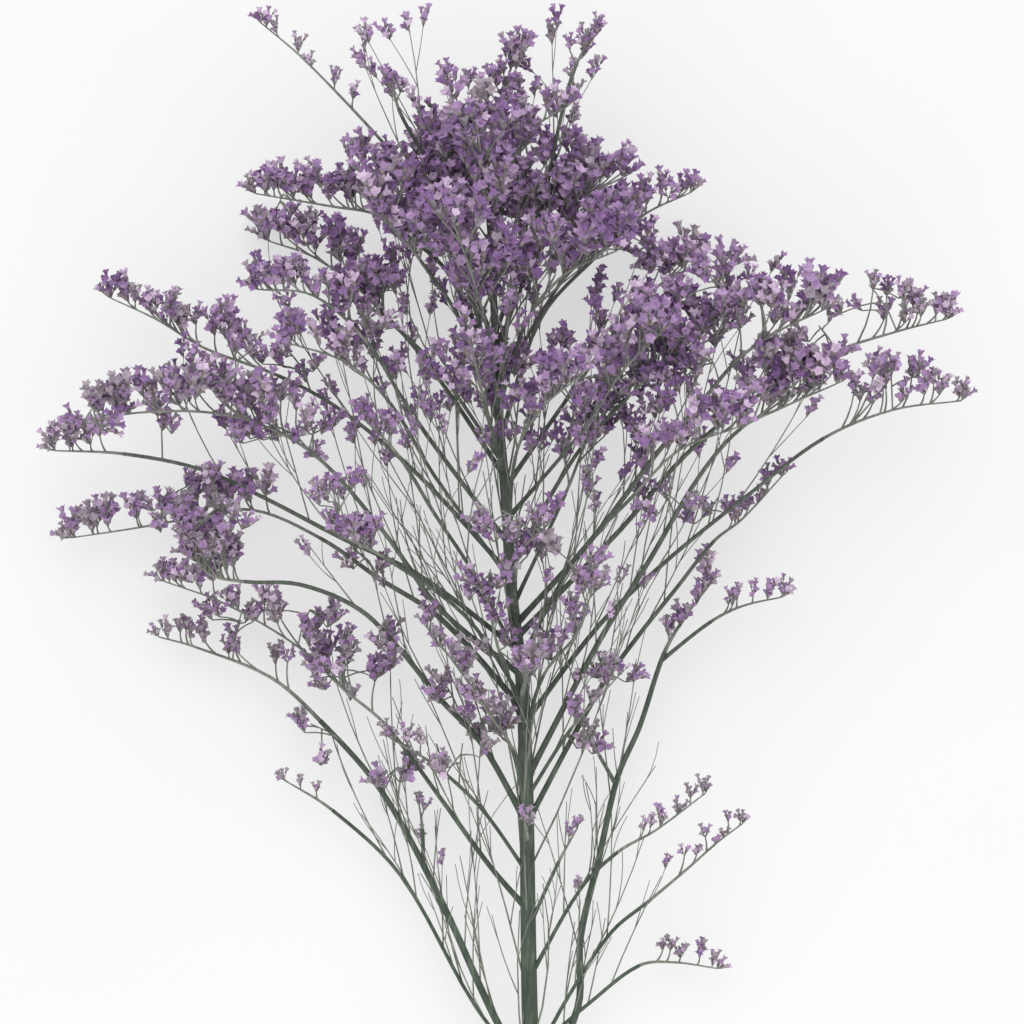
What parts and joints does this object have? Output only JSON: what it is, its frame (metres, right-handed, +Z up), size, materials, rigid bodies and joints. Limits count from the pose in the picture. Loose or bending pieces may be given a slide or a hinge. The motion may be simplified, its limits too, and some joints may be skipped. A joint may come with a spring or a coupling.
{
  "type": "dried sea lavender stem",
  "caption": "One cut stem of dried sea lavender lying on a surface, its arching side branches ending in sprays of small papery violet florets.",
  "frame": {"origin": "on the surface, under the middle of the bounding box", "axes": "+X across the spread, +Y from the cut end to the flowering top, +Z up from the surface that the stem lies on"},
  "size_m": [0.2982, 0.4394, 0.1066],
  "materials": {
    "stem": "dry ribbed bark, dull",
    "florets": "papery, dull"
  },
  "bodies": {
    "root": {"stem": "stem", "spray_centre_01": "florets", "spray_centre_02": "florets", "spray_centre_03": "florets", "spray_centre_04": "florets", "spray_centre_05": "florets", "spray_centre_06": "florets", "spray_centre_07": "florets", "spray_centre_08": "florets", "spray_centre_09": "florets", "spray_centre_10": "florets", "spray_centre_11": "florets", "spray_centre_12": "florets", "spray_left_01": "florets", "spray_left_02": "florets", "spray_left_03": "florets", "spray_left_04": "florets", "spray_left_05": "florets", "spray_left_06": "florets", "spray_left_07": "florets", "spray_left_08": "florets", "spray_left_09": "florets", "spray_left_10": "florets", "spray_left_11": "florets", "spray_left_12": "florets", "spray_left_13": "florets", "spray_left_14": "florets", "spray_left_15": "florets", "spray_left_16": "florets", "spray_left_17": "florets", "spray_left_18": "florets", "spray_left_19": "florets", "spray_left_20": "florets", "spray_left_21": "florets", "spray_left_22": "florets", "spray_left_23": "florets", "spray_left_24": "florets", "spray_right_01": "florets", "spray_right_02": "florets", "spray_right_03": "florets", "spray_right_04": "florets", "spray_right_05": "florets", "spray_right_06": "florets", "spray_right_07": "florets", "spray_right_08": "florets", "spray_right_09": "florets", "spray_right_10": "florets", "spray_right_11": "florets", "spray_right_12": "florets", "spray_right_13": "florets", "spray_right_14": "florets", "spray_right_15": "florets", "spray_right_16": "florets", "spray_right_17": "florets", "spray_right_18": "florets", "spray_right_19": "florets", "spray_right_20": "florets", "spray_right_21": "florets", "spray_right_22": "florets", "spray_right_23": "florets"}
  },
  "joints": []
}
